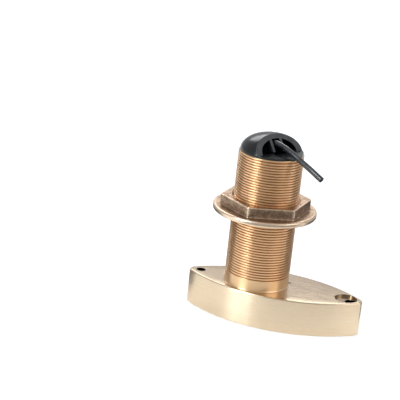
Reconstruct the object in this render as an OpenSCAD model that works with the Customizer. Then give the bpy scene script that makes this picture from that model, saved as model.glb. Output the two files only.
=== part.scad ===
// Through-hull depth transducer: a streamlined bronze base, a threaded stem,
// a flanged hull nut and a hooded plastic cap from which the cable leaves.
// The stem axis is Z and the sounding face lies in the plane z = 0.
// The long end of the base points along +X.

/* [Base] */
// Length of the base from end to end
base_length = 139.5; // [130:0.5:160]
// Width of the base at its middle
base_width = 60; // [58:0.5:70]
// Height of the base
base_height = 27.2; // [25:0.1:36]
// Width of the blunt ends
base_end_w = 5.4; // [4:0.1:8]
// Distance from the stem axis to the middle of the base
base_offset = 15.5; // [12:0.5:18]
// Rounding of the top edge
base_edge = 1.2; // [0.4:0.1:2]

/* [Base fastenings] */
// Distance of the fore bolt hole from the short end of the base
fore_hole_in = 8.75; // [8.25:0.25:12]
// Radius of the fore bolt hole
fore_hole_r = 3.35; // [2:0.05:4]
// Distance of the aft recess from the long end of the base
aft_recess_in = 12.75; // [12:0.25:16]
// Radius of the aft recess
aft_recess_r = 8.8; // [8:0.1:9]
// Depth of the aft recess
aft_recess_depth = 2.2; // [0.5:0.1:4]
// Distance from the middle of the recess to the aft bolt hole
aft_hole_shift = 4; // [0:0.1:4]
// Radius of the aft bolt hole
aft_hole_r = 4.3; // [3:0.1:4.4]
// Distance from the stem axis to the small dowel hole in the base top
dowel_x = 25.2; // [24.8:0.1:27]
// Sideways distance of the dowel hole
dowel_y = 9.1; // [9:0.1:12]
// Radius of the dowel hole
dowel_r = 1.1; // [0.6:0.1:1.2]
// Depth of the dowel hole
dowel_depth = 5; // [2:0.5:7]

/* [Stem] */
// Diameter over the thread crests
stem_d = 50.8; // [48:0.1:51.6]
// Height of the stem above the base
stem_height = 106.7; // [104:0.1:112]
// Plain turned band below the thread
stem_band = 8.5; // [6:0.1:20]
// Thread pitch
thread_pitch = 2.117; // [1.5:0.001:3]
// Thread depth
thread_depth = 1.1; // [0.5:0.05:1.4]
// Bore of the stem
stem_bore_d = 39; // [38:0.1:41]
// Radius of the spigot that screws into the base
spigot_r = 17; // [15:0.1:19]
// Radius of the wire way through the spigot
wireway_r = 12; // [11:0.1:12.5]
// Thickness of the stem floor above the base
stem_floor = 5.8; // [3:0.1:8]
// Depth of the seat for the stem's shoulder in the base top
stem_seat = 0.8; // [0.4:0.1:2]
// Edge break on the stem rim
rim_edge = 0.5; // [0.2:0.1:0.7]

/* [Hull nut] */
// Height of the nut's underside above the sounding face
nut_z = 85.1; // [60:0.1:95]
// Diameter of the flange
nut_flange_d = 81; // [76:0.5:86]
// Thickness of the flange
nut_flange_t = 4.2; // [3:0.1:8]
// Rounding of the flange's rim
flange_edge = 1.4; // [0.4:0.1:1.4]
// Width of the hexagon across its flats
nut_flats = 61.8; // [57:0.1:63]
// Height of the hexagon above the flange
nut_hex_h = 8.1; // [5:0.1:14]
// Turn of the hexagon about the stem
nut_turn = 22; // [0:1:59]
// Edge break of the hexagon's corners
nut_corner = 0.4; // [0.3:0.1:2]
// Chamfer at both ends of the nut's bore
nut_chamfer = 1.4; // [0.4:0.1:2]
// Running clearance between the nut's bore and the thread crests
nut_clearance = 0.3; // [0.2:0.05:0.6]

/* [Cap] */
// Direction that the cap's mouth faces
cap_turn = -36; // [-60:1:0]
// Radius of the cap on the stem rim
cap_r = 24.6; // [24:0.1:24.8]
// Height of the hood above the stem rim
hood_h = 14.3; // [14:0.1:18]
// Radius inside the hood
hood_inner_r = 19.6; // [19:0.1:21]
// Height inside the hood
hood_inner_h = 11.2; // [10.8:0.1:12]
// Slope of the mouth from level
mouth_slope = 52; // [45:1:60]
// Distance of the mouth's foot from the stem axis, at the stem rim
mouth_foot = 10.8; // [9:0.1:12]
// Thickness of the flat ledge in front of the mouth
ledge_t = 1.6; // [1:0.1:2.2]
// Land between the mouth's foot and the hole in the floor plate
mouth_land = 0.5; // [0.3:0.1:1.5]
// Clear width between the two ribs beside the cable
rib_gap = 7.4; // [7:0.1:12]
// Thickness of a rib
rib_t = 2.3; // [1:0.1:3]
// Width of the cable slot in the ledge
slot_w = 13; // [12:0.1:16]
// Thickness of the floor left under the cable slot
slot_floor = 0.5; // [0.3:0.1:1]
// Length of the spigot inside the stem
cap_spigot_len = 12; // [10:0.5:14]
// Wall of the spigot
cap_spigot_wall = 2.8; // [2.4:0.1:4]
// Gap between the spigot and the stem's bore
cap_clearance = 0.2; // [0.1:0.05:0.3]

/* [Seals] */
// Thickness of the cap's O-ring
cap_ring_d = 2; // [1.6:0.1:2.4]
// Distance of the cap's O-ring below the stem rim
cap_ring_drop = 7; // [5:0.1:7]
// Thickness of the O-ring round the stem's spigot
stem_ring_d = 2; // [1.6:0.1:2.4]
// Distance of that O-ring below the stem's shoulder
stem_ring_drop = 3.5; // [2:0.1:4]
// Play of each O-ring in its groove
seal_play = 0.05; // [0.02:0.01:0.1]

/* [Sounding element] */
// Radius of the pocket under the base
pocket_r = 23; // [22:0.1:23.5]
// Depth of the pocket
pocket_depth = 19; // [18:0.1:19.5]
// Thickness of the acoustic window
window_t = 3; // [2:0.1:4]
// Radius of the ceramic disc
ceramic_r = 17.5; // [16:0.1:18.5]
// Thickness of the ceramic disc
ceramic_t = 9.5; // [8:0.1:10]
// Thickness of the backing disc
backing_t = 3; // [2:0.1:3.5]
// Gap left round pieces that are bonded in place
bond_gap = 0.1; // [0.05:0.01:0.15]

/* [Electronics] */
// Thickness of the junction board
board_t = 1.6; // [1:0.1:2.4]
// Distance of the transformer from the stem axis
core_offset = 7; // [6:0.1:7.4]
// Radius of the transformer's pot core
core_r = 9.5; // [8:0.1:10]
// Height of one core half
core_half_h = 6; // [5:0.1:9]
// Outer wall of the core
core_wall = 1.5; // [1.2:0.1:2]
// Thickness of the core's end plate
core_plate = 1.8; // [1.4:0.1:2.2]
// Radius of the core's centre post
core_post_r = 3.4; // [3:0.1:3.8]
// Radius of the screw through the core
core_screw_r = 1.25; // [1:0.05:1.5]
// Radius of the core screw's head
core_screw_head_r = 2.4; // [2:0.1:3]
// Height of the core screw's head
core_screw_head_h = 1.8; // [1.2:0.1:2.4]
// Radius of the two leads from the ceramic disc
lead_r = 0.6; // [0.4:0.05:0.8]
// Height that leads stand above the board
lead_stand = 1.4; // [1:0.1:3]

/* [Cable] */
// Diameter of the cable
cable_d = 4.4; // [4:0.1:4.8]
// Height of the potting above the sounding face
potting_z = 60; // [58:0.5:70]
// Thickness of the rubber grommet below the cap
grommet_t = 10; // [6:0.5:16]
// Height of the crimped ferrule
ferrule_h = 4; // [2:0.1:6]
// Wall of the ferrule
ferrule_wall = 1.4; // [0.8:0.1:2]
// Radius of a cable conductor
conductor_r = 0.5; // [0.3:0.05:0.6]
// Distance between the two conductors
conductor_gap = 2.4; // [2:0.1:3]

/* [Hidden] */
$fn = 96;
overlap = 1;

// Each side of the base is one large arc from blunt end to blunt end.
arc_rise = (base_width - base_end_w) / 2;
arc_r = (pow(base_length / 2, 2) + pow(arc_rise, 2)) / (2 * arc_rise);
arc_centre_y = arc_r - base_width / 2;

// Distances of the fastenings from the stem axis
fore_hole_x = base_length / 2 - base_offset - fore_hole_in;
aft_recess_x = base_length / 2 + base_offset - aft_recess_in;
aft_hole_x = aft_recess_x + aft_hole_shift;

// Levels along the stem
rim_z = base_height + stem_height;
floor_z = base_height + stem_floor;
stem_r = stem_d / 2;
bore_r = stem_bore_d / 2;
thread_z = base_height + stem_band;
thread_crest = thread_pitch / 8;
thread_flank = thread_pitch * 5 / 16;
thread_turns = floor((rim_z - rim_edge - thread_crest - thread_z) / thread_pitch);
neck_r = spigot_r + bond_gap;
seat_z = base_height - stem_seat;

// The nut's own measures
nut_bore_r = stem_r + nut_clearance;
nut_corner_r = nut_flats / sqrt(3);
nut_height = nut_flange_t + nut_hex_h;

// The cap's own measures
cap_spigot_r = bore_r - cap_clearance;
cap_spigot_bore_r = cap_spigot_r - cap_spigot_wall;
mouth_chord = mouth_foot - ledge_t / tan(mouth_slope);
floor_hole_front = mouth_chord - mouth_land;
dome_steps = 18;
dome_crown = 87;
grommet_top = rim_z - cap_spigot_len;

// Levels inside the base
ceramic_top = window_t + ceramic_t;
backing_top = ceramic_top + backing_t;
lead_spots = [[-6, -6], [-1, 9]];
lead_hole_r = lead_r + bond_gap;

// Levels on the junction board
board_top = floor_z + board_t;
core_top = board_top + 2 * core_half_h;
board_r = bore_r - bond_gap;
post_r = 0.8;
post_h = 5;
post_circle_r = 16;
post_angles = [100, 130, 190, 220];

// The cable climbs from the grommet, turns over under the hood and leaves through the slot.
cable_turn = -29.4;
cable_spot = [-8, 4.5];
cable_sides = 10;
cable_route = [
    [-8, 4.5, 121.9], [-8, 4.5, 127], [-8, 4.5, 131.5], [-7.5, 4.2, 134.6],
    [-6.2, 3.5, 137.4], [-4.4, 2.5, 139.6], [-2.2, 1.2, 141.1], [0.6, -0.3, 141.8],
    [4, -2.2, 141.7], [8.6, -4.8, 141], [14, -7.9, 139.6], [19, -10.7, 137.8],
    [24, -13.5, 135.8], [30, -16.9, 133.4], [36, -20.3, 131], [41, -23.1, 128.8],
    [46, -25.9, 126.6]];

// Upright disc whose top edge is rounded
module edged_disc(radius, height, edge) {
    rotate_extrude($fn = 180)
        union() {
            square([radius - edge, height]);
            square([radius, height - edge]);
            translate([radius - edge, height - edge])
                circle(r = edge, $fn = 48);
        }
}

// Block of the base before it is bored: a lens with blunt ends
module base_block() {
    translate([base_offset, 0, 0])
        intersection() {
            translate([0, -arc_centre_y, 0])
                edged_disc(arc_r, base_height, base_edge);
            translate([0, arc_centre_y, 0])
                edged_disc(arc_r, base_height, base_edge);
            edged_disc(base_length / 2, base_height, base_edge);
        }
}

// Cast bronze base with the pocket for the sounding element
module base_housing() {
    color("#c9b48f")
        difference() {
            base_block();
            translate([0, 0, -overlap])
                cylinder(r = pocket_r, h = pocket_depth + overlap);
            translate([0, 0, -overlap])
                cylinder(r = neck_r, h = base_height + 2 * overlap);
            translate([0, 0, seat_z])
                cylinder(r = stem_r + bond_gap, h = stem_seat + overlap);
            translate([-fore_hole_x, 0, -overlap])
                cylinder(r = fore_hole_r, h = base_height + 2 * overlap);
            translate([aft_hole_x, 0, -overlap])
                cylinder(r = aft_hole_r, h = base_height + 2 * overlap);
            translate([aft_recess_x, 0, base_height - aft_recess_depth])
                cylinder(r = aft_recess_r, h = aft_recess_depth + overlap);
            translate([dowel_x, dowel_y, base_height - dowel_depth])
                cylinder(r = dowel_r, h = dowel_depth + overlap);
        }
}

// Outline of one thread groove: down the flank, along the root and up the next flank
function groove(z) = [
    [stem_r, z + thread_crest],
    [stem_r - thread_depth, z + thread_crest + thread_flank],
    [stem_r - thread_depth, z + thread_pitch - thread_flank],
    [stem_r, z + thread_pitch]];

// Section of the stem from the wire way outwards and up to the rim
function stem_section() = concat(
    [[wireway_r, pocket_depth], [spigot_r, pocket_depth], [spigot_r, seat_z],
        [stem_r, seat_z]],
    [for (turn = [0 : thread_turns - 1]) each groove(thread_z + turn * thread_pitch)],
    [[stem_r, rim_z - rim_edge], [stem_r - rim_edge, rim_z], [bore_r, rim_z],
        [bore_r, floor_z], [wireway_r, floor_z]]);

// Section of the groove that an O-ring lies in
module ring_groove(centre_r, z, thickness) {
    width = thickness + 2 * seal_play;
    translate([0, 0, z - width / 2])
        difference() {
            cylinder(r = centre_r + thickness, h = width);
            translate([0, 0, -overlap])
                cylinder(r = centre_r - width / 2, h = width + 2 * overlap);
        }
}

// O-ring as a plain torus
module o_ring(centre_r, z, thickness) {
    rotate_extrude()
        translate([centre_r, z])
            circle(d = thickness, $fn = 32);
}

cap_ring_r = bore_r - seal_play - cap_ring_d / 2;
cap_ring_z = rim_z - cap_ring_drop;
stem_ring_r = neck_r - seal_play - stem_ring_d / 2;
stem_ring_z = seat_z - stem_ring_drop;

// Turned bronze tube that carries the thread and screws into the base
module threaded_stem() {
    color("#c58f4e")
        difference() {
            rotate_extrude()
                polygon(stem_section());
            ring_groove(stem_ring_r, stem_ring_z, stem_ring_d);
        }
}

// Round flange whose rim is rounded above and below
module nut_flange() {
    radius = nut_flange_d / 2;
    rotate_extrude()
        union() {
            square([radius - flange_edge, nut_flange_t]);
            translate([0, flange_edge])
                square([radius, nut_flange_t - 2 * flange_edge]);
            for (level = [flange_edge, nut_flange_t - flange_edge])
                translate([radius - flange_edge, level])
                    circle(r = flange_edge, $fn = 48);
        }
}

// Cast bronze nut with a round flange, which clamps the hull against the base
module hull_nut() {
    color("#8a6a45")
        translate([0, 0, nut_z])
            difference() {
                union() {
                    nut_flange();
                    intersection() {
                        rotate(nut_turn)
                            cylinder(r = nut_corner_r, h = nut_height, $fn = 6);
                        cylinder(r = nut_corner_r - nut_corner, h = nut_height);
                    }
                }
                translate([0, 0, -overlap])
                    cylinder(r = nut_bore_r, h = nut_height + 2 * overlap);
                cylinder(r1 = nut_bore_r + nut_chamfer, r2 = nut_bore_r, h = nut_chamfer);
                translate([0, 0, nut_height - nut_chamfer])
                    cylinder(r1 = nut_bore_r, r2 = nut_bore_r + nut_chamfer, h = nut_chamfer);
            }
}

// Half of a flattened ball that stands on the stem rim
module dome(radius, height) {
    translate([0, 0, rim_z])
        rotate_extrude()
            polygon(concat([[0, 0]],
                [for (step = [0 : dome_steps])
                    let (turn = dome_crown * step / dome_steps)
                    [radius * cos(turn), height * sin(turn)]],
                [[0, height * sin(dome_crown)]]));
}

// Everything in front of the sloping mouth
module mouth_space() {
    reach = 2 * cap_r;
    translate([mouth_foot, 0, rim_z])
        rotate([0, mouth_slope - 90, 0])
            translate([0, -reach, -reach])
                cube([reach, 2 * reach, 2 * reach]);
}

// The two upright ribs that guide the cable, before the hood and the mouth bound them
module cap_ribs() {
    for (side = [-1, 1])
        translate([-cap_r, side * (rib_gap + rib_t) / 2 - rib_t / 2, rim_z - overlap])
            cube([2 * cap_r, rib_t, hood_h]);
}

// Room above the floor plate: the open mouth, and the inside of the hood between its ribs
module hood_space() {
    reach = 2 * cap_r;
    intersection() {
        union() {
            mouth_space();
            difference() {
                dome(hood_inner_r, hood_inner_h);
                cap_ribs();
            }
        }
        translate([-reach, -reach, rim_z + ledge_t])
            cube([2 * reach, 2 * reach, reach]);
    }
}

// D-shaped hole through the floor plate, behind the mouth
module floor_hole() {
    intersection() {
        translate([0, 0, rim_z - overlap])
            cylinder(r = cap_spigot_bore_r, h = ledge_t + 2 * overlap);
        translate([-cap_r, -cap_r, rim_z - 2 * overlap])
            cube([cap_r + floor_hole_front, 2 * cap_r, ledge_t + 4 * overlap]);
    }
}

// Slot in the ledge that lets the cable out over the stem rim
module cable_slot() {
    translate([floor_hole_front - overlap, -slot_w / 2, rim_z + slot_floor])
        cube([cap_r, slot_w, ledge_t - slot_floor + overlap]);
}

// Moulded cap: spigot, floor plate, hood and ribs in one piece
module stem_cap() {
    color("#2a2a2c")
        rotate(cap_turn)
            difference() {
                union() {
                    dome(cap_r, hood_h);
                    translate([0, 0, grommet_top])
                        cylinder(r = cap_spigot_r, h = cap_spigot_len + ledge_t);
                }
                hood_space();
                translate([0, 0, grommet_top - overlap])
                    cylinder(r = cap_spigot_bore_r, h = cap_spigot_len);
                floor_hole();
                cable_slot();
                ring_groove(cap_ring_r, cap_ring_z, cap_ring_d);
            }
}

// Rubber ring round the cap's spigot
module cap_o_ring() {
    color("#1c1c1e")
        o_ring(cap_ring_r, cap_ring_z, cap_ring_d);
}

// Rubber ring round the stem's spigot
module stem_o_ring() {
    color("#1c1c1e")
        o_ring(stem_ring_r, stem_ring_z, stem_ring_d);
}

// Urethane face that closes the pocket flush with the base
module acoustic_window() {
    color("#3a3c3e")
        cylinder(r = pocket_r - bond_gap, h = window_t);
}

// Piezo-ceramic disc
module ceramic_disc() {
    color("#d8d2c4")
        translate([0, 0, window_t])
            cylinder(r = ceramic_r, h = ceramic_t);
}

// Cork sleeve round the ceramic and its backing
module isolation_sleeve() {
    color("#a9794a")
        translate([0, 0, window_t])
            difference() {
                cylinder(r = pocket_r - bond_gap, h = ceramic_t + backing_t);
                translate([0, 0, -overlap])
                    cylinder(r = ceramic_r + bond_gap, h = ceramic_t + backing_t + 2 * overlap);
            }
}

// Holes for both ceramic leads
module lead_holes(bottom, top) {
    for (spot = lead_spots)
        translate([spot[0], spot[1], bottom - overlap])
            cylinder(r = lead_hole_r, h = top - bottom + 2 * overlap, $fn = 24);
}

// Cork backing behind the ceramic
module backing_disc() {
    color("#9a6b3f")
        difference() {
            translate([0, 0, ceramic_top])
                cylinder(r = ceramic_r, h = backing_t);
            lead_holes(ceramic_top, backing_top);
        }
}

// Epoxy that fills the rest of the pocket and the wire way
module pocket_potting() {
    color("#232629")
        difference() {
            union() {
                translate([0, 0, backing_top])
                    cylinder(r = pocket_r - bond_gap, h = pocket_depth - backing_top);
                translate([0, 0, backing_top])
                    cylinder(r = wireway_r - bond_gap, h = floor_z - backing_top);
            }
            lead_holes(backing_top, floor_z);
        }
}

// One straight lead from the ceramic up through the board
module lead(spot) {
    translate([spot[0], spot[1], ceramic_top])
        cylinder(r = lead_r, h = board_top + lead_stand - ceramic_top, $fn = 24);
}

module lead_live() {
    color("#b03a2e")
        lead(lead_spots[0]);
}

module lead_return() {
    color("#2e4053")
        lead(lead_spots[1]);
}

// Place of the transformer on the board
module at_core() {
    rotate(cable_turn)
        translate([core_offset, 0, 0])
            children();
}

// Round board on the stem's floor
module junction_board() {
    color("#2f6b3c")
        difference() {
            translate([0, 0, floor_z])
                cylinder(r = board_r, h = board_t);
            lead_holes(floor_z, board_top);
            at_core()
                translate([0, 0, floor_z - overlap])
                    cylinder(r = core_screw_r + bond_gap, h = board_t + 2 * overlap, $fn = 32);
        }
}

// Tinned posts to which leads and conductors are soldered
module solder_posts() {
    color("#c8c8c0")
        for (turn = post_angles)
            rotate(turn)
                translate([post_circle_r, 0, board_top])
                    cylinder(r = post_r, h = post_h, $fn = 24);
}

// One cup of the pot core, open upwards from z = 0
module core_cup() {
    difference() {
        cylinder(r = core_r, h = core_half_h);
        translate([0, 0, core_plate])
            difference() {
                cylinder(r = core_r - core_wall, h = core_half_h);
                translate([0, 0, -overlap])
                    cylinder(r = core_post_r, h = core_half_h + 2 * overlap);
            }
        translate([0, 0, -overlap])
            cylinder(r = core_screw_r + bond_gap, h = core_half_h + 2 * overlap, $fn = 32);
    }
}

module pot_core_lower() {
    color("#3b3a3a")
        at_core()
            translate([0, 0, board_top])
                core_cup();
}

module pot_core_upper() {
    color("#3b3a3a")
        at_core()
            translate([0, 0, core_top])
                mirror([0, 0, 1])
                    core_cup();
}

// Copper winding between the two cups
module transformer_winding() {
    winding_h = 2 * (core_half_h - core_plate);
    color("#b0682f")
        at_core()
            translate([0, 0, board_top + core_plate])
                difference() {
                    cylinder(r = core_r - core_wall - bond_gap, h = winding_h);
                    translate([0, 0, -overlap])
                        cylinder(r = core_post_r + bond_gap, h = winding_h + 2 * overlap);
                }
}

// Screw that holds the core on the board
module core_screw() {
    color("#b5a04a")
        at_core() {
            translate([0, 0, floor_z])
                cylinder(r = core_screw_r, h = core_top - floor_z, $fn = 32);
            translate([0, 0, core_top])
                cylinder(r = core_screw_head_r, h = core_screw_head_h, $fn = 32);
        }
}

// Two conductors from the cable's end down to the board
module cable_conductors() {
    color("#d0702a")
        for (side = [-1, 1])
            translate([cable_spot[0], cable_spot[1], board_top])
                rotate(cable_turn)
                    translate([0, side * conductor_gap / 2, 0])
                        cylinder(r = conductor_r, h = potting_z - ferrule_h - board_top, $fn = 24);
}

// Crimped ferrule that stops the cable from being pulled out
module cable_ferrule() {
    color("#a8a8a4")
        translate([cable_spot[0], cable_spot[1], potting_z - ferrule_h])
            difference() {
                cylinder(r = cable_d / 2 + bond_gap + ferrule_wall, h = ferrule_h, $fn = 48);
                translate([0, 0, -overlap])
                    cylinder(r = cable_d / 2 + bond_gap, h = ferrule_h + 2 * overlap, $fn = 48);
            }
}

// Plug that fills the stem's bore round the cable
module bore_plug(bottom, top) {
    difference() {
        translate([0, 0, bottom])
            cylinder(r = bore_r - bond_gap, h = top - bottom);
        translate([cable_spot[0], cable_spot[1], bottom - overlap])
            cylinder(r = cable_d / 2 + bond_gap, h = top - bottom + 2 * overlap, $fn = 48);
    }
}

// Epoxy in the upper part of the stem
module stem_potting() {
    color("#26282b")
        bore_plug(potting_z, grommet_top - grommet_t);
}

// Rubber grommet between the potting and the cap
module cable_grommet() {
    color("#1f1f21")
        bore_plug(grommet_top - grommet_t, grommet_top);
}

// Straight end of the cable inside the stem
module cable_root() {
    color("#17181a")
        translate([cable_spot[0], cable_spot[1], potting_z - ferrule_h])
            cylinder(r = cable_d / 2, h = grommet_top - potting_z + ferrule_h, $fn = 48);
}

// Direction of the cable at one point of its route
function route_dir(i) =
    let (before = cable_route[max(i - 1, 0)],
        after = cable_route[min(i + 1, len(cable_route) - 1)],
        step = after - before)
    i == 0 ? [0, 0, 1] : step / norm(step);

// Ring of points round the cable at one point of its route
function route_ring(i) =
    let (across = [-sin(cable_turn), cos(cable_turn), 0],
        upright = cross(route_dir(i), across))
    [for (k = [0 : cable_sides - 1])
        let (turn = 360 * k / cable_sides)
        cable_route[i] + cable_d / 2 * (cos(turn) * across + sin(turn) * upright)];

// Free end of the cable, from the grommet over the rim
module signal_cable() {
    rings = len(cable_route);
    points = [for (i = [0 : rings - 1]) each route_ring(i)];
    sides = [for (i = [0 : rings - 2], k = [0 : cable_sides - 1])
        let (next = (k + 1) % cable_sides)
        [i * cable_sides + k, i * cable_sides + next,
            (i + 1) * cable_sides + next, (i + 1) * cable_sides + k]];
    first = [[for (k = [cable_sides - 1 : -1 : 0]) k]];
    last = [[for (k = [0 : cable_sides - 1]) (rings - 1) * cable_sides + k]];
    color("#17181a")
        polyhedron(points, concat(sides, first, last));
}

base_housing();
threaded_stem();
hull_nut();
stem_cap();
cap_o_ring();
stem_o_ring();
acoustic_window();
ceramic_disc();
isolation_sleeve();
backing_disc();
pocket_potting();
lead_live();
lead_return();
junction_board();
solder_posts();
pot_core_lower();
pot_core_upper();
transformer_winding();
core_screw();
cable_conductors();
cable_ferrule();
stem_potting();
cable_grommet();
cable_root();
signal_cable();
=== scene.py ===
import math

import bmesh
import bpy
from mathutils import Matrix, Vector


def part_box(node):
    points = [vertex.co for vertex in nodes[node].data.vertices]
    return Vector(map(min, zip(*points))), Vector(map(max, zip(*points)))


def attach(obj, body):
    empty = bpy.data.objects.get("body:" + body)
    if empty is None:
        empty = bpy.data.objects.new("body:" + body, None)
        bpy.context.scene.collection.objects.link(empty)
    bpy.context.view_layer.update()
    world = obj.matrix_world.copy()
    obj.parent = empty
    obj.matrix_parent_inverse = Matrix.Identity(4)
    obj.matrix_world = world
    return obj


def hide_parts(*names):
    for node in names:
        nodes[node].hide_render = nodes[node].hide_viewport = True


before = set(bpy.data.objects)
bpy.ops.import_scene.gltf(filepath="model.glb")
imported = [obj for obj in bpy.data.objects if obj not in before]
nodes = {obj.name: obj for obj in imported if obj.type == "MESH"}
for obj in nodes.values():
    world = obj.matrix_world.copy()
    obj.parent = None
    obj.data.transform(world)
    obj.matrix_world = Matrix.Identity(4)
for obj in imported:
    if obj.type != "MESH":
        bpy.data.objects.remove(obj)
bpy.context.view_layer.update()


# Camera: a long lens in front of the part, a little to its right and above it,
# held at a tilt so that the stem leans to the right in the picture.
MM = 0.001
scene = bpy.context.scene
orbit_centre = Vector((0, 0, 80 * MM))
orbit_distance = 1.3
azimuth = math.radians(12.2)
elevation = math.radians(18.8)
lean = math.radians(6.9)
frame_px = 400
focal_px = 1670.0
centre_px = (263.8, 217.4)

right = Vector((math.cos(azimuth), math.sin(azimuth), 0))
forward = Vector((-math.sin(azimuth) * math.cos(elevation),
                  math.cos(azimuth) * math.cos(elevation), -math.sin(elevation)))
up = right.cross(forward)
eye = orbit_centre - forward * orbit_distance
right, up = (right * math.cos(lean) + up * math.sin(lean),
             up * math.cos(lean) - right * math.sin(lean))
aim = (forward - right * (centre_px[0] - frame_px / 2) / focal_px
       + up * (centre_px[1] - frame_px / 2) / focal_px).normalized()
right = (right - aim * right.dot(aim)).normalized()
up = right.cross(aim)

lens = bpy.data.cameras.new("camera")
lens.sensor_fit = "HORIZONTAL"
lens.sensor_width = 36
lens.lens = focal_px * lens.sensor_width / frame_px
lens.clip_end = 20
camera = bpy.data.objects.new("camera", lens)
camera.matrix_world = Matrix.Translation(eye) @ Matrix((right, up, -aim)).transposed().to_4x4()
scene.collection.objects.link(camera)
scene.camera = camera


# Studio: white paper in a pale room, a cool soft box at the left, a weaker one at the right and
# one from behind, a narrow spot on the stem, and dark sheets on the paper, hidden from the camera,
# that only the metal mirrors: painted reflections of dark surroundings.
floor_reach = 4.0
paper_z = -0.3 * MM
reflection_sheet_z = -0.2 * MM
paper_white = 0.25
room_front, room_back = 0.55, 0.6
daylight, neutral = (0.8, 0.92, 1), (1, 1, 1)


def put(tree, kind, sockets=None, **settings):
    """A new node: sockets are linked or set by name or number, settings are its own options."""
    node = tree.nodes.new(kind)
    for name, value in settings.items():
        setattr(node, name, value)
    for name, value in (sockets or {}).items():
        if isinstance(value, bpy.types.NodeSocket):
            tree.links.new(value, node.inputs[name])
        else:
            node.inputs[name].default_value = value
    return node


def figure(tree, operation, first, second):
    """The outcome of one sum on two numbers or sockets."""
    return put(tree, "ShaderNodeMath", {0: first, 1: second}, operation=operation).outputs[0]


def remap(tree, value, low, high, to_low, to_high):
    """A value moved from one range into another and held there."""
    return put(tree, "ShaderNodeMapRange", {"Value": value, "From Min": low, "From Max": high,
                                            "To Min": to_low, "To Max": to_high}).outputs["Result"]


def surface(name, colour, roughness, metallic=0.0):
    """A material with one Principled shader, and its object coordinates."""
    material = bpy.data.materials.new(name)
    material.use_nodes = True
    tree = material.node_tree
    shader = tree.nodes["Principled BSDF"]
    shader.inputs["Base Color"].default_value = (*colour, 1)
    shader.inputs["Roughness"].default_value = roughness
    shader.inputs["Metallic"].default_value = metallic
    place = put(tree, "ShaderNodeTexCoord").outputs["Object"]
    return material, tree, shader, place


floor_mesh = bpy.data.meshes.new("studio_floor")
floor_mesh.from_pydata([(x * floor_reach, y * floor_reach, paper_z)
                        for x, y in ((-1, -1), (1, -1), (1, 1), (-1, 1))], [], [(0, 1, 2, 3)])
floor = bpy.data.objects.new("studio_floor", floor_mesh)
scene.collection.objects.link(floor)
paper, tree, shader, place = surface("white_paper", (0.9, 0.9, 0.9), 0.9)
shader.inputs["Specular IOR Level"].default_value = 0
shader.inputs["Emission Color"].default_value = (1, 1, 1, 1)
ray = put(tree, "ShaderNodeLightPath").outputs
seen = ray["Is Camera Ray"]
for kind in ("Is Glossy Ray", "Is Transmission Ray"):
    seen = figure(tree, "MAXIMUM", seen, ray[kind])
tree.links.new(figure(tree, "MULTIPLY", seen, paper_white), shader.inputs["Emission Strength"])
floor_mesh.materials.append(paper)

room = bpy.data.worlds.new("studio_room")
room.use_nodes = True
tree = room.node_tree
background = tree.nodes["Background"].inputs
heading = put(tree, "ShaderNodeTexCoord").outputs["Generated"]
depth = put(tree, "ShaderNodeSeparateXYZ", {0: heading}).outputs["Y"]
background["Color"].default_value = (0.97, 0.98, 1, 1)
tree.links.new(remap(tree, depth, -0.7, 0.7, room_front, room_back), background["Strength"])
scene.world = room
scene.view_settings.view_transform = "Standard"


def hang(lamp, target, turn, rise, distance):
    """Sets a lamp up at a turn from the front and a rise from level, facing its target."""
    turn, rise = math.radians(turn), math.radians(rise)
    holder = bpy.data.objects.new(lamp.name, lamp)
    holder.location = target + distance * Vector(
        (math.sin(turn) * math.cos(rise), -math.cos(turn) * math.cos(rise), math.sin(rise)))
    holder.rotation_euler = (target - holder.location).to_track_quat("-Z", "Y").to_euler()
    scene.collection.objects.link(holder)


def soft_box(name, turn, rise, distance, width, height, power, colour):
    """A rectangular lamp that faces the middle of the part."""
    lamp = bpy.data.lights.new(name, "AREA")
    lamp.shape = "RECTANGLE"
    lamp.size = width
    lamp.size_y = height
    lamp.energy = power
    lamp.color = colour
    hang(lamp, orbit_centre, turn, rise, distance)


soft_box("key_box", turn=-39, rise=32, distance=1.1, width=0.2, height=1.1,
         power=6.9, colour=daylight)
soft_box("fill_box", turn=78, rise=28, distance=1.3, width=0.9, height=0.8,
         power=3.5, colour=neutral)
soft_box("back_box", turn=203, rise=39, distance=1.4, width=1.0, height=0.55,
         power=7, colour=neutral)

spot = bpy.data.lights.new("stem_spot", "SPOT")
spot.energy = 13
spot.color = daylight
spot.shadow_soft_size = 0.07
spot.spot_size = math.radians(5.4)
spot.spot_blend = 0.3
hang(spot, Vector((0, 0, 82 * MM)), turn=-27, rise=6, distance=1.1)


def reflection_sheet(name, first, last, near, far, tone):
    """A dark sector on the paper, seen only in the metal as a painted reflection; turns start at the
    camera.
    """
    points = []
    steps = 12
    for step in range(steps + 1):
        turn = math.radians(first + (last - first) * step / steps) - azimuth
        points += [(-math.sin(turn) * span, -math.cos(turn) * span, reflection_sheet_z) for span in (near, far)]
    faces = [(2 * k, 2 * k + 1, 2 * k + 3, 2 * k + 2) for k in range(steps)]
    mesh = bpy.data.meshes.new(name)
    mesh.from_pydata(points, [], faces)
    mesh.materials.append(surface(name, (tone, tone, tone), 0.9)[0])
    sheet = bpy.data.objects.new(name, mesh)
    sheet.visible_camera = False
    sheet.visible_diffuse = False
    sheet.visible_shadow = False
    scene.collection.objects.link(sheet)


# Painted reflections: dark sheets that stand in for dark surroundings, seen only in the metal.
reflection_sheet("left_reflection_sheet", first=98, last=174, near=0.09, far=0.5, tone=0.03)
reflection_sheet("right_reflection_sheet", first=-98, last=-160, near=0.09, far=0.5, tone=0.03)
reflection_sheet("front_reflection_sheet", first=45, last=-80, near=0.2, far=1.2, tone=0.18)


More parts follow.
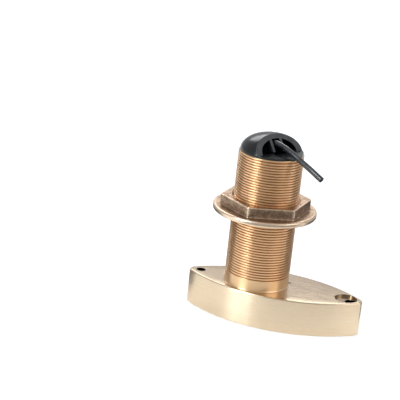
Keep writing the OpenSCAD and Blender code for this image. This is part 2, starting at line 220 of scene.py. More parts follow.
# Cable: a round black lead that climbs out of the stem, turns over under the hood
# and leaves through the slot in the cap, sagging a little to its bare end.
cable_d = 4.4 * MM
cable_sides = 28
cable_stops = [
    (-8, 4.5, 121.9), (-8, 4.5, 127), (-8, 4.5, 131.5), (-7.5, 4.2, 134.6),
    (-6.2, 3.5, 137.4), (-4.4, 2.5, 139.6), (-2.2, 1.2, 141.1), (0.6, -0.3, 141.8),
    (4, -2.2, 141.7), (8.6, -4.8, 141), (14, -7.9, 139.6), (19, -10.7, 137.8),
    (24, -13.5, 135.8), (30, -16.9, 133.4), (36, -20.3, 131), (41, -23.1, 128.8),
    (46, -25.9, 126.6)]


def smooth_route(stops, steps):
    """Points on one smooth curve through all the stops."""
    ends = [2 * stops[0] - stops[1], *stops, 2 * stops[-1] - stops[-2]]
    points = []
    for a, b, c, d in zip(ends, ends[1:], ends[2:], ends[3:]):
        for step in range(steps):
            t = step / steps
            points.append(0.5 * (2 * b + (c - a) * t + (2 * a - 5 * b + 4 * c - d) * t * t
                                 + (3 * b - a - 3 * c + d) * t * t * t))
    return points + [stops[-1].copy()]


def new_piece(name, mesh):
    """An object for a mesh, at the origin."""
    piece = bpy.data.objects.new(name, mesh)
    scene.collection.objects.link(piece)
    return piece


def settle(piece):
    """Gives the piece the mesh that its modifiers leave, and keeps none of them."""
    graph = bpy.context.evaluated_depsgraph_get()
    mesh = bpy.data.meshes.new_from_object(piece.evaluated_get(graph), depsgraph=graph)
    mesh.name = piece.name
    piece.modifiers.clear()
    piece.data = mesh


def node_tree(name, values):
    """A geometry node group with one geometry and the named values going in, and its inlets."""
    group = bpy.data.node_groups.new(name, "GeometryNodeTree")
    group.interface.new_socket("Geometry", in_out="INPUT", socket_type="NodeSocketGeometry")
    group.interface.new_socket("Geometry", in_out="OUTPUT", socket_type="NodeSocketGeometry")
    kinds = {float: "NodeSocketFloat", int: "NodeSocketInt",
             bpy.types.Material: "NodeSocketMaterial"}
    for title, value in values.items():
        group.interface.new_socket(title, in_out="INPUT", socket_type=kinds[type(value)])
    return group, group.nodes.new("NodeGroupInput").outputs


def run_nodes(piece, group, source, values, last):
    """Ends the group in real geometry with the material, sets its values and settles the piece."""
    real = put(group, "GeometryNodeRealizeInstances", {"Geometry": last}).outputs["Geometry"]
    smooth = put(group, "GeometryNodeSetShadeSmooth", {"Geometry": real}).outputs["Geometry"]
    dressed = put(group, "GeometryNodeSetMaterial",
                  {"Geometry": smooth, "Material": source["Material"]}).outputs["Geometry"]
    put(group, "NodeGroupOutput", {"Geometry": dressed})
    modifier = piece.modifiers.new(group.name, "NODES")
    modifier.node_group = group
    for item in group.interface.items_tree:
        if item.in_out == "INPUT" and item.name in values:
            modifier[item.identifier] = values[item.name]
    settle(piece)


def noise(tree, place, scale, detail=4.0, roughness=0.55):
    """A cloudy pattern between 0 and 1."""
    return put(tree, "ShaderNodeTexNoise", {"Vector": place, "Scale": scale, "Detail": detail,
                                            "Roughness": roughness}).outputs["Fac"]


def shade(tree, value, *stops):
    """Colours along a value, each stop a place and a colour."""
    ramp = put(tree, "ShaderNodeValToRGB", {"Fac": value})
    bands = ramp.color_ramp.elements
    while len(bands) < len(stops):
        bands.new(0.5)
    for band, (position, colour) in zip(bands, stops):
        band.position = position
        band.color = (*colour, 1)
    return ramp.outputs["Color"]


def relief(tree, shader, height, depth, strength):
    """Fine unevenness of the surface, of a depth in metres."""
    bump = put(tree, "ShaderNodeBump", {"Height": height, "Distance": depth, "Strength": strength})
    tree.links.new(bump.outputs["Normal"], shader.inputs["Normal"])


jacket, tree, shader, place = surface("black_pvc", (0.014, 0.014, 0.016), 0.2)
shader.inputs["Specular IOR Level"].default_value = 0.9
grain = noise(tree, place, 2600, 3)
scuff = noise(tree, place, 180, 5)
tree.links.new(shade(tree, scuff, (0.35, (0.010, 0.010, 0.012)), (0.75, (0.026, 0.026, 0.03))),
               shader.inputs["Base Color"])
tree.links.new(remap(tree, scuff, 0.3, 0.7, 0.14, 0.24), shader.inputs["Roughness"])
relief(tree, shader, grain, 0.04 * MM, 0.2)

cable_path = smooth_route([Vector(stop) * MM for stop in cable_stops], 5)
route_mesh = bpy.data.meshes.new("cable_route")
route_mesh.from_pydata(cable_path, [(i, i + 1) for i in range(len(cable_path) - 1)], [])
cable = new_piece("cable", route_mesh)
cable_values = {"Radius": cable_d / 2, "Sides": cable_sides, "Material": jacket}
group, source = node_tree("lead_along_route", cable_values)
line = put(group, "GeometryNodeMeshToCurve", {"Mesh": source["Geometry"]}).outputs["Curve"]
ring = put(group, "GeometryNodeCurvePrimitiveCircle",
           {"Resolution": source["Sides"], "Radius": source["Radius"]}).outputs["Curve"]
tube = put(group, "GeometryNodeCurveToMesh",
           {"Curve": line, "Profile Curve": ring, "Fill Caps": True}).outputs["Mesh"]
run_nodes(cable, group, source, cable_values, tube)
cable.data.set_sharp_from_angle(angle=math.radians(50))
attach(cable, "housing")
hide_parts("signal_cable")


# Base: a cast bronze lens with blunt ends, ground flat on top and brushed round its sides,
# with a pocket below for the sounding element, a seat for the stem and two bolt holes.
base_low, base_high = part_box("base_housing")
base_mid = (base_low.x + base_high.x) / 2
base_half = (base_high.x - base_low.x) / 2
base_side = base_high.y
base_top = base_high.z
base_edge = 1.2 * MM
base_foot = 0.4 * MM
end_half = 2.7 * MM
end_round = 4 * MM
arc_rise = base_side - end_half
arc_r = (base_half ** 2 + arc_rise ** 2) / (2 * arc_rise)
arc_y = arc_r - base_side
stem_low, stem_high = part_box("threaded_stem")
stem_r = stem_high.x
rim_z = stem_high.z
fore_x, fore_r = base_low.x + 8.75 * MM, 3.35 * MM
aft_x, aft_r = base_high.x - 8.75 * MM, 4.3 * MM
recess_x, recess_r, recess_deep = base_high.x - 12.75 * MM, 8.8 * MM, 2.2 * MM
dowel_spot, dowel_r, dowel_deep = (25.2 * MM, 9.1 * MM), 1.1 * MM, 5 * MM
seat_gap, seat_deep = 0.1 * MM, 0.8 * MM
pocket_r, pocket_deep = 23 * MM, 19 * MM
neck_r = 17.1 * MM
hole_edge, hole_edge_turn = 0.3 * MM, math.radians(40)
hole_margin = 0.4 * MM
top_facing = 0.8
quarter = math.pi / 2


def sweep(x, y, radius, first, last, steps):
    """Points on an arc, with both its ends."""
    return [(x + radius * math.cos(a), y + radius * math.sin(a))
            for a in (first + (last - first) * i / steps for i in range(steps + 1))]


def lens_ring(inset, z):
    """Points round the base's outline, moved in by some distance, at one level."""
    side, end = arc_r - end_round, base_half - end_round
    corner_y = (side ** 2 - end ** 2 - arc_y ** 2) / (2 * arc_y)
    corner_x = math.sqrt(end ** 2 - corner_y ** 2)
    start = math.atan2(corner_y + arc_y, corner_x)
    turn = math.atan2(corner_y, corner_x)
    corner_r = end_round - inset
    half = []
    for run in (sweep(0, -arc_y, arc_r - inset, start, math.pi - start, 96),
                sweep(-corner_x, corner_y, corner_r, math.pi - start, math.pi - turn, 8),
                sweep(0, 0, base_half - inset, math.pi - turn, math.pi + turn, 4),
                sweep(-corner_x, -corner_y, corner_r, math.pi + turn, math.pi + start, 8)):
        half += run[:-1]
    return [Vector((base_mid + x, y, z)) for x, y in half + [(-x, -y) for x, y in half]]


def loft(name, rings, closed=False):
    """A mesh through rings of points of equal number, capped at both ends or closed on itself."""
    bm = bmesh.new()
    loops = [[bm.verts.new(point) for point in ring] for ring in rings]
    for lower, upper in zip(loops, loops[1:] + loops[:1] if closed else loops[1:]):
        for i in range(len(lower)):
            k = (i + 1) % len(lower)
            bm.faces.new((lower[i], lower[k], upper[k], upper[i]))
    if not closed:
        bm.faces.new(loops[0][::-1])
        bm.faces.new(loops[-1])
    bmesh.ops.recalc_face_normals(bm, faces=bm.faces)
    mesh = bpy.data.meshes.new(name)
    bm.to_mesh(mesh)
    bm.free()
    return mesh


def circle(x, y, radius, z, steps=96):
    """Points round an upright axis at one level."""
    return [Vector((x + radius * math.cos(a), y + radius * math.sin(a), z))
            for a in (2 * math.pi * i / steps for i in range(steps))]


def carve(piece, cutters):
    """Takes each cutter's space out of the piece."""
    helpers = []
    for index, mesh in enumerate(cutters):
        helper = new_piece(f"cutter_{index}", mesh)
        cut = piece.modifiers.new(f"cut_{index}", "BOOLEAN")
        cut.operation = "DIFFERENCE"
        cut.solver = "EXACT"
        cut.object = helper
        helpers.append(helper)
    settle(piece)
    for helper in helpers:
        bpy.data.objects.remove(helper)


def scaled(tree, place, scale):
    """Coordinates stretched by a factor for each axis."""
    return put(tree, "ShaderNodeVectorMath", {0: place, 1: scale}, operation="MULTIPLY").outputs[0]


def mixed(tree, factor, first, second):
    """A blend of two colours, each a socket or three numbers."""
    first, second = (colour if isinstance(colour, bpy.types.NodeSocket) else (*colour, 1)
                     for colour in (first, second))
    return put(tree, "ShaderNodeMix", {0: factor, 6: first, 7: second}, data_type="RGBA").outputs[2]


def outside(tree, place, x, y, start, end, floor_shade=0.0):
    """How far a point is out of a hole round an upright line, a mask for painted shade in the hole:
    dark within start, 1 past end.
    """
    flat = scaled(tree, place, (1, 1, 0))
    off = put(tree, "ShaderNodeVectorMath", {0: flat, 1: (x, y, 0)}, operation="DISTANCE")
    return remap(tree, off.outputs["Value"], start, end, floor_shade, 1)


def round_grain(tree, shader, amount):
    """Fine lines round the upright axis, which draw highlights out up and down."""
    shader.inputs["Anisotropic"].default_value = amount
    shader.inputs["Anisotropic Rotation"].default_value = 0.25
    tangent = put(tree, "ShaderNodeTangent", direction_type="RADIAL", axis="Z").outputs[0]
    tree.links.new(tangent, shader.inputs["Tangent"])


brushed, tree, shader, place = surface("brushed_bronze", (0.78, 0.62, 0.42), 0.4, 1.0)
brush = noise(tree, scaled(tree, place, (28, 28, 1500)), 1, 6, 0.7)
cloud = noise(tree, place, 45, 4)
tone = mixed(tree, cloud, (0.75, 0.575, 0.38), (0.835, 0.667, 0.467))
streak = remap(tree, brush, 0.35, 0.7, 0, 0.35)
tree.links.new(mixed(tree, streak, tone, (0.95, 0.84, 0.66)), shader.inputs["Base Color"])
tree.links.new(remap(tree, brush, 0.3, 0.7, 0.24, 0.38), shader.inputs["Roughness"])
round_grain(tree, shader, 0.92)
relief(tree, shader, brush, 0.04 * MM, 0.35)

ground, tree, shader, place = surface("ground_bronze", (0.66, 0.53, 0.38), 0.22, 1.0)
brush = noise(tree, scaled(tree, place, (60, 900, 900)), 1, 6, 0.65)
cloud = noise(tree, place, 45, 4)
# The ground top and hole walls are a darker bronze than the brushed sides: painted shade, while the
# smoother grinding is real.
tone = mixed(tree, cloud, (0.6, 0.465, 0.325), (0.69, 0.56, 0.415))
# Painted shade: the bolt holes and dowel hole are painted near black inside, the recess floor and wall
# darker.
out_of_hole_shade = outside(tree, place, fore_x, 0, fore_r + 0.1 * MM, fore_r + 0.6 * MM)
for part in (
        outside(tree, place, aft_x, 0, aft_r + 0.1 * MM, aft_r + 0.6 * MM),
        outside(tree, place, recess_x, 0, recess_r - 0.1 * MM, recess_r + 0.3 * MM, 0.55),
        outside(tree, place, *dowel_spot, dowel_r, dowel_r + 0.3 * MM)):
    out_of_hole_shade = figure(tree, "MULTIPLY", out_of_hole_shade, part)
tree.links.new(mixed(tree, out_of_hole_shade, (0.05, 0.03, 0.018), tone), shader.inputs["Base Color"])
tree.links.new(remap(tree, brush, 0.3, 0.7, 0.14, 0.28), shader.inputs["Roughness"])
relief(tree, shader, brush, 0.03 * MM, 0.25)

rings = [lens_ring(base_foot, 0), lens_ring(0, base_foot)]
rings += [lens_ring(base_edge * (1 - math.cos(a)), base_top - base_edge * (1 - math.sin(a)))
          for a in (quarter * i / 8 for i in range(9))]
base = new_piece("base", loft("base", rings))
over = 2 * MM
above = base_top + over
carve(base, [
    loft("fore_hole", [circle(fore_x, 0, fore_r, z, 48) for z in (-over, above)]),
    loft("aft_hole", [circle(aft_x, 0, aft_r, z, 48) for z in (-over, above)]),
    loft("recess", [circle(recess_x, 0, recess_r, z) for z in (base_top - recess_deep, above)]),
    loft("dowel", [circle(*dowel_spot, dowel_r, z, 24) for z in (base_top - dowel_deep, above)]),
    loft("seat", [circle(0, 0, stem_r + seat_gap, z, 128) for z in (base_top - seat_deep, above)]),
    loft("neck", [circle(0, 0, neck_r, z) for z in (pocket_deep - over, base_top)]),
    loft("pocket", [circle(0, 0, pocket_r, z) for z in (-over, pocket_deep)])])
base.data.materials.append(brushed)
base.data.materials.append(ground)
bevel = base.modifiers.new("edge_break", "BEVEL")
bevel.width = hole_edge
bevel.segments = 2
bevel.limit_method = "ANGLE"
bevel.angle_limit = hole_edge_turn
bevel.harden_normals = True
base.data.shade_smooth()
base.data.set_sharp_from_angle(angle=hole_edge_turn)
settle(base)
openings = ((fore_x, 0, fore_r), (aft_x, 0, aft_r), (recess_x, 0, recess_r),
            (*dowel_spot, dowel_r), (0, 0, stem_r))
for face in base.data.polygons:
    inner = any(math.hypot(face.center.x - x, face.center.y - y) < r + hole_margin
                for x, y, r in openings)
    face.material_index = 1 if inner or face.normal.z > top_facing else 0
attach(base, "housing")
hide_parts("base_housing")


def dress(material, *names):
    """Gives solids of the frame a material."""
    for name in names:
        nodes[name].data.materials.clear()
        nodes[name].data.materials.append(material)


def two_tone(name, low, high, scale, roughness, metallic=0.0, depth=0.03 * MM):
    """A plain material with a fine grain between two colours."""
    material, tree, shader, place = surface(name, high, roughness, metallic)
    grain = noise(tree, place, scale, 5)
    tree.links.new(shade(tree, grain, (0.35, low), (0.65, high)), shader.inputs["Base Color"])
    gloss = remap(tree, grain, 0.3, 0.7, roughness - 0.06, roughness + 0.1)
    tree.links.new(gloss, shader.inputs["Roughness"])
    relief(tree, shader, grain, depth, 0.5)
    return material


dress(two_tone("dark_urethane", (0.028, 0.03, 0.033), (0.05, 0.052, 0.056), 420, 0.5),
      "acoustic_window")
dress(two_tone("fired_ceramic", (0.62, 0.58, 0.5), (0.74, 0.7, 0.62), 900, 0.55), "ceramic_disc")
dress(two_tone("cork", (0.26, 0.15, 0.075), (0.52, 0.34, 0.18), 1500, 0.8, depth=0.15 * MM),
      "isolation_sleeve", "backing_disc")
dress(two_tone("black_epoxy", (0.012, 0.013, 0.015), (0.024, 0.026, 0.03), 160, 0.2),
      "pocket_potting", "stem_potting")
dress(two_tone("red_lead", (0.38, 0.025, 0.02), (0.5, 0.04, 0.03), 1200, 0.4), "lead_live")
dress(two_tone("blue_lead", (0.02, 0.045, 0.11), (0.03, 0.065, 0.16), 1200, 0.4), "lead_return")


# Stem: a bronze tube turned from bar, with a plain band at its foot, a fine helical thread
# up to the rim, and a spigot with a rubber ring that holds it in the base.
thread_pitch = 2.117 * MM
thread_deep = 1.1 * MM
thread_low = base_top + 8.5 * MM
thread_steps = 120
tooth_foot, tooth_crest = 0.94, 0.46
tooth_height, tooth_round, tooth_shift = 1.1, 0.1, -0.45
root_r = stem_r - thread_deep
bore_r = 19.5 * MM
spigot_r, spigot_edge = 17 * MM, 0.5 * MM
wire_r = 12 * MM
floor_z = base_top + 5.8 * MM
seat_z = base_top - seat_deep
ring_z = seat_z - 3.5 * MM
ring_half = 1.05 * MM
ring_bed_r = spigot_r - 2 * MM
foot_z = base_top + 0.02 * MM
rim_edge = 0.5 * MM
rim_land = 1.1 * MM
rim_inner = 0.4 * MM

turned, tree, shader, place = surface("turned_bronze", (0.8, 0.5, 0.22), 0.22, 1.0)
flat = scaled(tree, place, (1, 1, 0))
across = put(tree, "ShaderNodeVectorMath", {0: flat}, operation="LENGTH").outputs["Value"]
# Painted shade: the thread roots are painted a darker bronze than the crests.
crest = remap(tree, across, root_r + 0.1 * MM, stem_r - 0.1 * MM, 0, 1)
swarf = noise(tree, scaled(tree, place, (40, 40, 2600)), 1, 5, 0.7)
stain = noise(tree, place, 38, 5)
root_shade = mixed(tree, stain, (0.55, 0.24, 0.085), (0.65, 0.305, 0.115))
worn = mixed(tree, stain, (0.785, 0.485, 0.235), (0.895, 0.61, 0.34))
tree.links.new(mixed(tree, crest, root_shade, worn), shader.inputs["Base Color"])
tree.links.new(remap(tree, swarf, 0.3, 0.7, 0.3, 0.44), shader.inputs["Roughness"])
round_grain(tree, shader, 0.8)
shader.inputs["Coat Weight"].default_value = 1
shader.inputs["Coat Roughness"].default_value = 0.2
relief(tree, shader, swarf, 0.02 * MM, 0.4)

section = [
    (wire_r, stem_low.z), (spigot_r - spigot_edge, stem_low.z),
    (spigot_r, stem_low.z + spigot_edge), (spigot_r, ring_z - ring_half),
    (ring_bed_r, ring_z - ring_half), (ring_bed_r, ring_z + ring_half),
    (spigot_r, ring_z + ring_half), (spigot_r, seat_z), (stem_r, seat_z), (stem_r, foot_z),
    (stem_r + 0.5 * MM, foot_z), (stem_r + 0.38 * MM, base_top + 0.35 * MM),
    (stem_r + 0.1 * MM, base_top + 0.6 * MM), (stem_r, base_top + 1 * MM),
    (stem_r, thread_low - 0.3 * MM), (stem_r - 0.3 * MM, thread_low),
    (root_r, thread_low + 0.35 * MM), (root_r, rim_z - rim_land - 0.6 * MM),
    (stem_r, rim_z - rim_land), (stem_r, rim_z - rim_edge), (stem_r - rim_edge, rim_z),
    (bore_r + rim_inner, rim_z), (bore_r, rim_z - rim_inner), (bore_r, floor_z), (wire_r, floor_z)]
stem = new_piece("stem", loft("stem", [circle(0, 0, r, z, 144) for r, z in section], closed=True))
stem.data.shade_smooth()
stem.data.set_sharp_from_angle(angle=math.radians(25))

thread_start = thread_low - 0.2 * thread_pitch
thread_turns = (rim_z - rim_land - thread_start) / thread_pitch
thread_values = {"Root radius": root_r, "Depth": thread_deep, "Pitch": thread_pitch,
                 "Turns": thread_turns, "Start": thread_start, "Steps": thread_steps,
                 "Material": turned}
group, source = node_tree("thread_round_stem", thread_values)


def times(title, factor):
    """One of the group's values, times a factor."""
    return figure(group, "MULTIPLY", source[title], factor)


def moved(shape, axis, distance, **sockets):
    """A shape moved along one axis."""
    path = put(group, "ShaderNodeCombineXYZ", {axis: distance}).outputs[0]
    return put(group, "GeometryNodeTransform",
               {"Geometry": shape, "Translation": path, **sockets}).outputs["Geometry"]


helix = put(group, "GeometryNodeCurveSpiral", {
    "Resolution": source["Steps"], "Rotations": source["Turns"],
    "Start Radius": source["Root radius"], "End Radius": source["Root radius"],
    "Height": times("Turns", source["Pitch"]), "Reverse": False}).outputs["Curve"]
helix = moved(helix, "Z", source["Start"])
helix = put(group, "GeometryNodeSetCurveNormal", {"Curve": helix}, mode="Z_UP").outputs["Curve"]
tooth = put(group, "GeometryNodeCurvePrimitiveQuadrilateral", {
    "Bottom Width": times("Pitch", tooth_foot), "Top Width": times("Pitch", tooth_crest),
    "Height": times("Depth", tooth_height), "Offset": 0.0}, mode="TRAPEZOID").outputs["Curve"]
tooth = put(group, "GeometryNodeFilletCurve", {
    "Curve": tooth, "Radius": times("Depth", tooth_round), "Count": 2,
    "Limit Radius": True}, mode="POLY").outputs["Curve"]
tooth = moved(tooth, "X", times("Depth", tooth_shift), Rotation=(0, 0, quarter))
ridge = put(group, "GeometryNodeCurveToMesh",
            {"Curve": helix, "Profile Curve": tooth, "Fill Caps": True}).outputs["Mesh"]
both = put(group, "GeometryNodeJoinGeometry")
group.links.new(source["Geometry"], both.inputs[0])
group.links.new(ridge, both.inputs[0])
run_nodes(stem, group, source, thread_values, both.outputs[0])
stem.data.set_sharp_from_angle(angle=math.radians(35))
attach(stem, "housing")
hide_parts("threaded_stem")
rubber = two_tone("black_rubber", (0.010, 0.010, 0.011), (0.022, 0.022, 0.024), 2200, 0.6)
dress(rubber, "stem_o_ring")


# Board: a round green board on the stem's floor carries the solder posts and a small
# pot-core transformer, which a brass screw holds down. The cable's root ends in a ferrule above.
dress(two_tone("green_board", (0.02, 0.09, 0.035), (0.035, 0.15, 0.06), 700, 0.35),
      "junction_board")
dress(two_tone("tinned_metal", (0.55, 0.53, 0.48), (0.72, 0.7, 0.65), 1600, 0.3, 1.0),
      "solder_posts")
dress(two_tone("grey_ferrite", (0.035, 0.034, 0.033), (0.07, 0.068, 0.066), 1900, 0.55),
      "pot_core_lower", "pot_core_upper")
dress(two_tone("enamelled_wire", (0.32, 0.1, 0.035), (0.52, 0.19, 0.07), 2400, 0.3, 1.0),
      "transformer_winding")
dress(two_tone("brass_screw", (0.6, 0.45, 0.16), (0.76, 0.6, 0.26), 1400, 0.3, 1.0), "core_screw")
dress(two_tone("copper_core", (0.62, 0.27, 0.12), (0.8, 0.4, 0.22), 1500, 0.3, 1.0),
      "cable_conductors")
dress(two_tone("crimped_steel", (0.42, 0.42, 0.41), (0.6, 0.6, 0.58), 1300, 0.35, 1.0),
      "cable_ferrule")
dress(jacket, "cable_root")
dress(rubber, "cable_grommet")


# Hull nut: a sand-cast bronze hexagon on a round flange. Its cast skin is dark and grainy,
# the flange's rim is turned bright, and spanners have worn its edges to the metal.
nut_low, nut_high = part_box("hull_nut")
nut_top = nut_high.z - nut_low.z
nut_bore = 25.7 * MM
nut_chamfer = 1.4 * MM
nut_edge, nut_root = 0.45 * MM, 0.9 * MM
flange_r = nut_high.x
flange_t = 4.2 * MM
flange_edge = 1.4 * MM
flange_bright = 3.4 * MM
hex_half = 30.9 * MM
hex_corner = 2 * hex_half / math.sqrt(3) - 0.4 * MM
hex_turn = math.radians(22)
side_steps, corner_crowding = 40, 0.09


def hex_radius(turn):
    """Distance from the axis to the hexagon's side, with its corners turned off."""
    off = (turn - hex_turn + math.pi / 6) % (math.pi / 3) - math.pi / 6
    return min(hex_half / math.cos(math.pi / 6 - abs(off)), hex_corner)


def nut_section(turn):
    """Section of the nut in one direction: points, and how worn each of them is."""
    side = hex_radius(turn)
    corner = max(0.0, (side - hex_half) / (hex_corner - hex_half))
    worn = 0.7 + 0.3 * corner ** 3
    flat_in = nut_bore + nut_chamfer
    rim_r = flange_r - flange_edge
    points = [((nut_bore, nut_chamfer), 1.0), ((flat_in, 0.0), 1.0), ((flange_r - 3 * MM, 0.0), 1.0)]
    points += [(p, 1.0) for p in sweep(rim_r, flange_edge, flange_edge, -quarter, 0, 6)]
    points += [(p, 1.0 - 0.45 * i / 6) for i, p in enumerate(
        sweep(rim_r, flange_t - flange_edge, flange_edge, 0, quarter, 6))]
    skin_r = flange_r - flange_bright
    points += [((skin_r + 1 * MM, flange_t), 0.12), ((skin_r, flange_t), 0.0)]
    foot = side + nut_root
    points += [((foot + (skin_r - foot) * k, flange_t), 0.0) for k in (0.6, 0.3)]
    points += [(p, 0.0) for p in sweep(foot, flange_t + nut_root, nut_root,
                                       3 * quarter, 2 * quarter, 4)]
    wall_low, wall_high = flange_t + nut_root, nut_top - nut_edge
    points += [((side, wall_low + (wall_high - wall_low) * k), corner ** 16 * 0.9)
               for k in (0.3, 0.6, 0.88)]
    points += [(p, worn) for p in sweep(side - nut_edge, wall_high, nut_edge, 0, quarter, 4)]
    rest = side - nut_edge - 0.5 * MM
    points += [((rest, nut_top), 0.1)]
    points += [((rest + (flat_in - rest) * k, nut_top), 0.0) for k in (0.4, 0.75, 0.96)]
    points += [((flat_in, nut_top), 0.6), ((nut_bore, nut_top - nut_chamfer), 1.0),
               ((nut_bore, nut_top / 2), 1.0)]
    return points


turns = []
for side in range(6):
    for step in range(side_steps):
        spread = step / side_steps
        crowded = spread - corner_crowding * math.sin(2 * math.pi * spread)
        turns.append(hex_turn + math.pi / 3 * (side + crowded))
columns = [nut_section(turn) for turn in turns]
rings, wears = [], []
for row in zip(*columns):
    rings.append([Vector((r * math.cos(turn), r * math.sin(turn), nut_low.z + z))
                  for turn, ((r, z), _) in zip(turns, row)])
    wears += [worn for _, worn in row]
nut = new_piece("hull_nut_cast", loft("hull_nut_cast", rings, closed=True))
nut.data.attributes.new("worn", "FLOAT", "POINT").data.foreach_set("value", wears)
nut.data.shade_smooth()
nut.data.set_sharp_from_angle(angle=math.radians(40))

cast, tree, shader, place = surface("cast_bronze", (0.4, 0.27, 0.16), 0.5, 1.0)
sand = noise(tree, place, 1000, 4, 0.6)
lump = noise(tree, place, 240, 4)
rub = put(tree, "ShaderNodeAttribute", attribute_name="worn").outputs["Fac"]
rub = put(tree, "ShaderNodeMath", {0: rub, 1: remap(tree, lump, 0.3, 0.7, -0.22, 0.22)},
          operation="ADD", use_clamp=True).outputs[0]
skin = mixed(tree, remap(tree, lump, 0.3, 0.7, 0, 1), (0.195, 0.115, 0.07), (0.41, 0.265, 0.17))
skin = mixed(tree, remap(tree, sand, 0.45, 0.65, 0, 0.7), skin, (0.6, 0.45, 0.33))
tree.links.new(mixed(tree, rub, skin, (0.85, 0.66, 0.48)), shader.inputs["Base Color"])
tree.links.new(remap(tree, rub, 0, 1, 0.36, 0.3), shader.inputs["Roughness"])
relief(tree, shader, sand, 0.18 * MM, 0.5)
nut.data.materials.append(cast)
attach(nut, "nut")
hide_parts("hull_nut")


# Cap: a moulded black plug in the stem's open end, with a hood over its back half, a sloping
# mouth, two ribs beside the cable and a slot in the flat ledge that lets the cable out.
cap_low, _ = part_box("stem_cap")
cap_turn = math.radians(-36)
cap_sides = 128
cap_r = 24.6 * MM
hood_h = 14.3 * MM
hood_in_r = 19.6 * MM
hood_in_h = 11.2 * MM
crown_end = math.radians(87)
mouth_slope = math.radians(52)
mouth_foot = 10.8 * MM
mouth_normal = (-math.sin(mouth_slope), 0, -math.cos(mouth_slope))
ledge_t = 1.6 * MM
over_ledge = rim_z + ledge_t + 1 * MM
rib_gap = 7.4 * MM
rib_t = 2.3 * MM
rib_in, rib_out = rib_gap / 2, rib_gap / 2 + rib_t
slot_w = 13 * MM
slot_floor = 0.5 * MM
plug_r = bore_r - 0.2 * MM
plug_edge = 0.4 * MM
plug_bore = plug_r - 2.8 * MM
hole_front = mouth_foot - ledge_t / math.tan(mouth_slope) - 0.5 * MM
hole_lip = 0.2 * MM
groove_z = rim_z - 7 * MM
groove_r = bore_r - 2.1 * MM
far = 60 * MM
weld_gap = 0.02 * MM
mouth_facing = 0.995


def crown(radius, height, steps=28):
    """Rings of a flattened half ball that stands on the rim, from its foot to its crown."""
    return [circle(0, 0, radius * math.cos(a), rim_z + height * math.sin(a), cap_sides)
            for a in (crown_end * i / steps for i in range(steps + 1))]


def trimmed(mesh, *planes):
    """The part of a closed mesh behind every plane, closed again."""
    bm = bmesh.new()
    bm.from_mesh(mesh)
    for point, normal in planes:
        bmesh.ops.bisect_plane(bm, geom=bm.verts[:] + bm.edges[:] + bm.faces[:], plane_co=point,
                               plane_no=normal, clear_outer=True)
        bmesh.ops.holes_fill(bm, edges=[e for e in bm.edges if e.is_boundary], sides=0)
    bmesh.ops.recalc_face_normals(bm, faces=bm.faces)
    bm.to_mesh(mesh)
    bm.free()
    return mesh


def clean_up(piece, gap):
    """Merges points that lie closer than the gap and drops edges that no face uses."""
    bm = bmesh.new()
    bm.from_mesh(piece.data)
    bmesh.ops.remove_doubles(bm, verts=bm.verts, dist=gap)
    bmesh.ops.delete(bm, geom=[edge for edge in bm.edges if not edge.link_faces], context="EDGES")
    bm.to_mesh(piece.data)
    bm.free()


def block(name, low, high):
    """A box between two opposite corners."""
    outline = ((low[0], low[1]), (high[0], low[1]), (high[0], high[1]), (low[0], high[1]))
    return loft(name, [[Vector((x, y, z)) for x, y in outline] for z in (low[2], high[2])])


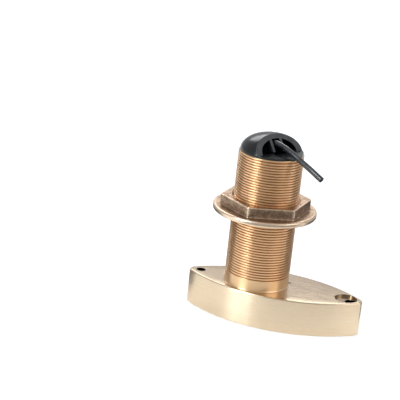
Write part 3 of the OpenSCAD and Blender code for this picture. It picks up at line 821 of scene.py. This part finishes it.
plug = [
    (plug_bore, rim_z - 1 * MM), (plug_bore, cap_low.z), (plug_r - plug_edge, cap_low.z),
    (plug_r, cap_low.z + plug_edge), (plug_r, groove_z - ring_half),
    (groove_r, groove_z - ring_half), (groove_r, groove_z + ring_half),
    (plug_r, groove_z + ring_half), (plug_r, rim_z)]
rings = [circle(0, 0, r, z, cap_sides) for r, z in plug]
cap = new_piece("cap", loft("cap", rings + crown(cap_r, hood_h)))
shelf = ((0, 0, rim_z + ledge_t), (0, 0, -1))
mouth = block("mouth", (-far, -far, rim_z - far), (far, far, rim_z + far))
bays = [trimmed(loft("bay", crown(hood_in_r, hood_in_h)), shelf, *walls) for walls in (
    (((0, rib_in, 0), (0, 1, 0)), ((0, -rib_in, 0), (0, -1, 0))),
    (((0, rib_out, 0), (0, -1, 0)),),
    (((0, -rib_out, 0), (0, 1, 0)),))]
floor_hole = loft("floor_hole", [circle(0, 0, plug_bore - hole_lip, z, cap_sides)
                                 for z in (rim_z - 2 * MM, over_ledge)])
carve(cap, [
    trimmed(mouth, shelf, ((mouth_foot, 0, rim_z), mouth_normal)),
    *bays,
    trimmed(floor_hole, ((hole_front, 0, 0), (1, 0, 0))),
    block("slot", (hole_front - 1 * MM, -slot_w / 2, rim_z + slot_floor),
          (far, slot_w / 2, over_ledge))])
clean_up(cap, weld_gap)
cap.data.transform(Matrix.Rotation(cap_turn, 4, "Z"))

moulded, tree, shader, place = surface("black_nylon", (0.012, 0.012, 0.013), 0.25)
shader.inputs["Specular IOR Level"].default_value = 0.42
speck = noise(tree, place, 1900, 4)
haze = noise(tree, place, 90, 4)
tree.links.new(shade(tree, haze, (0.35, (0.008, 0.008, 0.009)), (0.7, (0.017, 0.017, 0.019))),
               shader.inputs["Base Color"])
tree.links.new(remap(tree, haze, 0.3, 0.7, 0.16, 0.26), shader.inputs["Roughness"])
relief(tree, shader, speck, 0.03 * MM, 0.2)

# The mouth faces get a lighter, rougher grey: partly a matte finish, partly painted light on faces
# turned towards the light.
mouth_face_nylon, tree, shader, place = surface("grey_nylon", (0.06, 0.06, 0.064), 0.5)
speck = noise(tree, place, 1700, 4)
haze = noise(tree, place, 160, 4)
tree.links.new(shade(tree, haze, (0.3, (0.038, 0.038, 0.04)), (0.75, (0.07, 0.07, 0.074))),
               shader.inputs["Base Color"])
tree.links.new(remap(tree, speck, 0.3, 0.7, 0.42, 0.6), shader.inputs["Roughness"])
relief(tree, shader, speck, 0.05 * MM, 0.35)

cap.data.materials.append(moulded)
cap.data.materials.append(mouth_face_nylon)
face_out = Matrix.Rotation(cap_turn, 3, "Z") @ -Vector(mouth_normal)
for face in cap.data.polygons:
    if face.normal.dot(face_out) > mouth_facing:
        face.material_index = 1
cap.data.shade_smooth()
cap.data.set_sharp_from_angle(angle=math.radians(25))
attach(cap, "housing")
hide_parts("stem_cap")
dress(rubber, "cap_o_ring")
